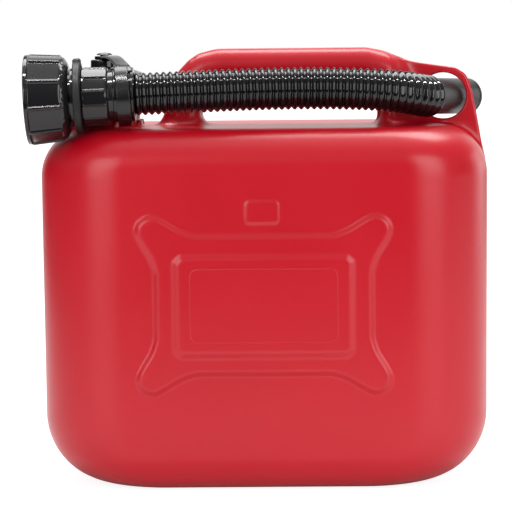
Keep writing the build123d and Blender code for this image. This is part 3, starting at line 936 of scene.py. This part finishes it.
# ------------------------------------------------------------------ materials
def red_hdpe():
    material, nodes, surface, _ = new_material("red_hdpe")
    place = nodes.coords()
    broad = nodes.noise(place, scale=9.0, detail=2)
    colour = nodes.ramp(broad, [(0.3, (0.450, 0.0020, 0.0105)), (0.7, (0.482, 0.0027, 0.0125))])
    fleck = nodes.noise(place, scale=420.0, detail=2)
    colour = nodes.mix(nodes.remap(fleck, source=(0.55, 0.8), target=(0.0, 0.05)),
                       colour, (0.60, 0.022, 0.036))
    edge = nodes.edges(start=0.53)
    patches = nodes.noise(place, scale=60.0, detail=4)
    wear = nodes.math("MULTIPLY", edge,
                      nodes.remap(patches, source=(0.35, 0.7), target=(0.1, 0.55)))
    colour = nodes.mix(wear, colour, (0.64, 0.05, 0.07))
    grain = nodes.noise(place, scale=900.0, detail=3, rough=0.6)
    rough = nodes.math("ADD", nodes.remap(broad, source=(0.2, 0.8), target=(0.28, 0.33)),
                       nodes.remap(grain, source=(0.3, 0.7), target=(-0.01, 0.01)))
    # Moulded skin, slow waviness of the wall, and the parting line on the mid-plane
    y = nodes.add("ShaderNodeSeparateXYZ", {0: place}).outputs["Y"]
    parting = nodes.remap(nodes.math("ABSOLUTE", y), source=(0.00015, 0.00055),
                          target=(1.0, 0.0))
    normal = nodes.bump(grain, distance=0.00002, strength=0.4)
    waves = nodes.noise(place, scale=26.0, detail=1)
    normal = nodes.bump(waves, distance=0.0005, strength=0.35, normal=normal)
    normal = nodes.bump(parting, distance=0.00018, strength=0.8, normal=normal)
    nodes.feed(surface, {"Base Color": colour, "Roughness": rough, "IOR": 1.5,
                         "Normal": normal})
    return material


def black_plastic(name, base, rough, grain_scale, grain_depth, edge_gain=0.02, specular=0.5):
    """Black with mottling, paler edges (by edge_gain), streaks of scuffing and a fine grain."""
    material, nodes, surface, _ = new_material(name)
    place = nodes.coords()
    broad = nodes.noise(place, scale=40.0, detail=3)
    colour = nodes.ramp(broad, [(0.3, tuple(c * 0.8 for c in base)),
                                (0.7, tuple(c * 1.25 for c in base))])
    edge = nodes.edges(start=0.52)
    patches = nodes.noise(place, scale=160.0, detail=4)
    wear = nodes.math("MULTIPLY", edge,
                      nodes.remap(patches, source=(0.35, 0.7), target=(0.15, 0.8)))
    colour = nodes.mix(wear, colour, tuple(c + edge_gain for c in base))
    stretched = nodes.add("ShaderNodeMapping", {"Scale": (60, 900, 900), "Vector": place})
    streaks = nodes.noise(stretched.outputs["Vector"], scale=1.0, detail=2)
    grain = nodes.noise(place, scale=grain_scale, detail=3, rough=0.6)
    mottle = nodes.remap(broad, source=(0.2, 0.8), target=(rough - 0.03, rough + 0.04))
    scuffs = nodes.remap(streaks, source=(0.55, 0.8), target=(0.0, 0.06))
    roughness = nodes.math("ADD", mottle, scuffs)
    normal = nodes.bump(grain, distance=grain_depth, strength=0.5)
    waves = nodes.noise(place, scale=120.0, detail=2)
    normal = nodes.bump(waves, distance=0.0001, strength=0.3, normal=normal)
    nodes.feed(surface, {"Base Color": colour, "Roughness": roughness,
                         "Specular IOR Level": specular, "Normal": normal})
    return material


GLOSS_BASE = (0.0075, 0.0071, 0.0080)
RED = red_hdpe()
GLOSS = black_plastic("black_gloss", GLOSS_BASE, rough=0.10, grain_scale=500.0,
                      grain_depth=0.00003)
HOSE_BLACK = black_plastic("black_hose", (0.0045, 0.0042, 0.0047), rough=0.06,
                           grain_scale=900.0, grain_depth=0.00001, edge_gain=0.008)
NOZZLE_BLACK = black_plastic("black_nozzle", GLOSS_BASE, rough=0.32, grain_scale=700.0,
                             grain_depth=0.00004, specular=0.28)
MATTE = black_plastic("black_matte", (0.0070, 0.0070, 0.0075), rough=0.46, grain_scale=1200.0,
                      grain_depth=0.00008, edge_gain=0.03, specular=0.35)
SOFT = black_plastic("soft_black", (0.0035, 0.0034, 0.0037), rough=0.24, grain_scale=900.0,
                     grain_depth=0.00005, edge_gain=0.012)
SEAL = black_plastic("seal_rubber", (0.05, 0.05, 0.052), rough=0.7, grain_scale=1400.0,
                     grain_depth=0.0001, edge_gain=0.03, specular=0.3)


def dress(obj, material):
    obj.data.materials.clear()
    obj.data.materials.append(material)


# ------------------------------------------------------------------ ties to the frame
for part in (tank, thread, neck_lugs, line_front, line_back):
    dress(part, RED)
    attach(part, "can")
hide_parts("tank")

# (object, material, body it rides, node it replaces, slot)
for part, material, body, node, slot in (
        (nut, GLOSS, "nut", "spout_nut", "black_gloss"),
        (disc, MATTE, "disc", "stop_disc", "black_matte"),
        (collar, GLOSS, "can", "hose_collar", "black_gloss"),
        (nozzle, NOZZLE_BLACK, "nozzle", "nozzle", "black_gloss"),
        (cap, GLOSS, "cap_outer", "cap_shell", "black_gloss"),
        (stud, GLOSS, "cap_outer", "tether_stud", "black_gloss")):
    dress(part, material)
    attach(part, body)
    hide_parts(node)

dress(nut_thread, GLOSS)
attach(nut_thread, "nut")

dress(hose, HOSE_BLACK)
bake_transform(hose)
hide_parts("hose")

dress(strap, SOFT)
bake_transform(strap)
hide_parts("tether_strap")

for node, material in (("cap_insert", MATTE), ("cap_seal", SEAL), ("nut_gasket", SEAL),
                       ("spout_adapter", GLOSS), ("strainer", MATTE)):
    dress(frame["nodes"][node], material)


# ------------------------------------------------------------------ studio, in metres
def floor_material():
    """Matt grey to light; to the camera a glow that brightens towards the back."""
    material, nodes, surface, output = new_material("studio_floor")
    tone = nodes.noise(nodes.coords(), scale=1.5, detail=1)
    colour = nodes.ramp(tone, [(0.3, grey(0.78)), (0.7, grey(0.80))])
    nodes.feed(surface, {"Roughness": 0.9, "Specular IOR Level": 0.1, "Base Color": colour})
    glow = nodes.add("ShaderNodeEmission")
    y = nodes.add("ShaderNodeSeparateXYZ", {0: nodes.coords()}).outputs["Y"]
    nodes.feed(glow, {"Strength": nodes.remap(y, source=(0.15, 0.9), target=(0.87, 1.05))})
    path = nodes.add("ShaderNodeLightPath")
    dim = nodes.add("ShaderNodeBsdfDiffuse", {"Color": (*grey(0.38), 1)})
    seen = nodes.add("ShaderNodeAddShader", {0: glow.outputs[0], 1: dim.outputs[0]})
    pick = nodes.add("ShaderNodeMixShader", {0: path.outputs["Is Camera Ray"],
                                             1: surface.outputs[0], 2: seen.outputs[0]})
    nodes.feed(output, {"Surface": pick.outputs[0]})
    return material


floor_mesh = bpy.data.meshes.new("floor")
floor_mesh.from_pydata([(-0.8, -0.62, 0), (2.6, -0.62, 0), (2.6, 6.0, 0), (-1.2, 6.0, 0)],
                       [], [(0, 1, 2, 3)])
floor = bpy.data.objects.new("floor", floor_mesh)
bpy.context.scene.collection.objects.link(floor)
floor.location.z = -0.0004
dress(floor, floor_material())


def build_world():
    """White to the camera. To other rays: bright behind the can, dark behind the camera."""
    world = bpy.data.worlds.new("studio")
    world.use_nodes = True
    nodes = Nodes(world.node_tree)
    output = nodes.add("ShaderNodeOutputWorld")
    room = nodes.add("ShaderNodeBackground", {"Strength": 1.0})
    white = nodes.add("ShaderNodeBackground", {"Color": (1, 1, 1, 1), "Strength": 1.0})
    direction = nodes.add("ShaderNodeTexCoord").outputs["Generated"]
    x, y, z = nodes.add("ShaderNodeSeparateXYZ", {0: direction}).outputs
    left = nodes.remap(y, source=(0.80, 0.95), target=(0.02, 1.0))
    right = nodes.ramp(y, [(0.0, grey(0.03)), (0.2, grey(0.15)), (0.5, grey(0.45)),
                           (0.75, grey(1))])
    to_right = nodes.remap(x, source=(-0.1, 0.45), target=(0.0, 1.0))
    walls = nodes.mix(to_right, left, right)
    # Overhead the room brightens towards the zenith.
    overhead = nodes.ramp(z, [(0.0, grey(0.005)), (0.28, grey(0.09)), (0.59, grey(0.18)),
                              (0.77, grey(0.27)), (0.90, grey(0.40)), (0.99, grey(0.68))])
    overhead = nodes.mix(1.0, overhead, grey(1.7), mode="MULTIPLY")
    upward = nodes.remap(z, source=(0.03, 0.38), target=(0.0, 1.0))
    above = nodes.math("MULTIPLY", upward,
                       nodes.remap(y, source=(0.55, 0.86), target=(1.0, 0.0)))
    nodes.feed(room, {"Color": nodes.mix(above, walls, overhead)})
    path = nodes.add("ShaderNodeLightPath")
    pick = nodes.add("ShaderNodeMixShader", {0: path.outputs["Is Camera Ray"],
                                             1: room.outputs[0], 2: white.outputs[0]})
    nodes.feed(output, {"Surface": pick.outputs[0]})
    return world


bpy.context.scene.world = build_world()

# (name, place, aim, width, height, watts)
LIGHTS = [
    ("softbox_left", (-0.93, -1.50, 0.62), (0, 0, 0.12), 1.10, 1.1, 13.0),
    ("softbox_right", (1.10, -1.36, 0.60), (0, 0, 0.12), 1.05, 1.1, 13.0),
    ("strip_top", (0.0, -0.42, 1.20), (0, 0, 0.2), 0.80, 0.045, 12.0),
    ("top_back", (0.0, 0.42, 1.20), (0, 0, 0.15), 1.4, 0.55, 17.0),
    ("side_right", (1.45, 1.05, 0.35), (0, 0, 0.15), 0.8, 0.8, 2.6)]
# Fills don't show in reflections.
FILLS = [
    ("fill_front", (0.0, -1.70, 0.85), (0, 0, 0.12), 1.6, 1.2, 2.0),
    ("fill_top", (0.0, -0.45, 1.25), (0, 0, 0.15), 1.4, 0.6, 2.5),
    ("fill_left", (-1.5, -0.30, 0.5), (0, 0, 0.12), 1.0, 1.0, 3.2),
    ("fill_right", (1.5, -0.30, 0.5), (0, 0, 0.12), 1.0, 1.0, 3.6)]


def area_light(name, place, aim, width, height, watts):
    light = bpy.data.lights.new(name, "AREA")
    light.shape = "RECTANGLE"
    light.size, light.size_y = width, height
    light.energy = watts
    obj = bpy.data.objects.new(name, light)
    bpy.context.scene.collection.objects.link(obj)
    obj.location = place
    obj.rotation_euler = (Vector(aim) - Vector(place)).to_track_quat("-Z", "Y").to_euler()
    return obj


lights = {row[0]: area_light(*row) for row in LIGHTS}
for row in FILLS:
    area_light(*row).visible_glossy = False

# The narrow strip lights the black parts alone.
black_parts = bpy.data.collections.new("black_parts")
for obj in list(bpy.context.scene.objects):
    if obj.type == "MESH" and obj.material_slots and obj.material_slots[0].material in (
            GLOSS, HOSE_BLACK, NOZZLE_BLACK, MATTE, SOFT):
        black_parts.objects.link(obj)
lights["strip_top"].light_linking.receiver_collection = black_parts

# ------------------------------------------------------------------ camera
CAMERA_DISTANCE = 1700.0
CAMERA_TARGET = np.array([-5.5, 0.0, 127.4])
VIEW_WIDTH = 296.96  # seen across the picture at the target
PITCH, YAW, ROLL = math.radians(5.5), math.radians(1.2), math.radians(0.6)
SENSOR = 36.0


def build_camera():
    back = np.array([math.sin(YAW) * math.cos(PITCH), -math.cos(YAW) * math.cos(PITCH),
                     math.sin(PITCH)])
    level = unit(np.cross(-back, UP))
    upright = np.cross(level, -back)
    right = level * math.cos(ROLL) - upright * math.sin(ROLL)
    up = upright * math.cos(ROLL) + level * math.sin(ROLL)
    place = (CAMERA_TARGET + CAMERA_DISTANCE * back) * MM
    pose = np.eye(4)
    pose[:3] = np.column_stack([right, up, back, place])
    lens = bpy.data.cameras.new("camera")
    lens.sensor_fit = "HORIZONTAL"
    lens.sensor_width = SENSOR
    lens.lens = SENSOR * CAMERA_DISTANCE / VIEW_WIDTH
    lens.clip_end = 50.0
    camera = bpy.data.objects.new("camera", lens)
    bpy.context.scene.collection.objects.link(camera)
    camera.matrix_world = Matrix(pose.tolist())
    return camera


bpy.context.scene.camera = build_camera()
bpy.context.scene.view_settings.view_transform = "Standard"
bpy.context.scene.view_settings.look = "None"
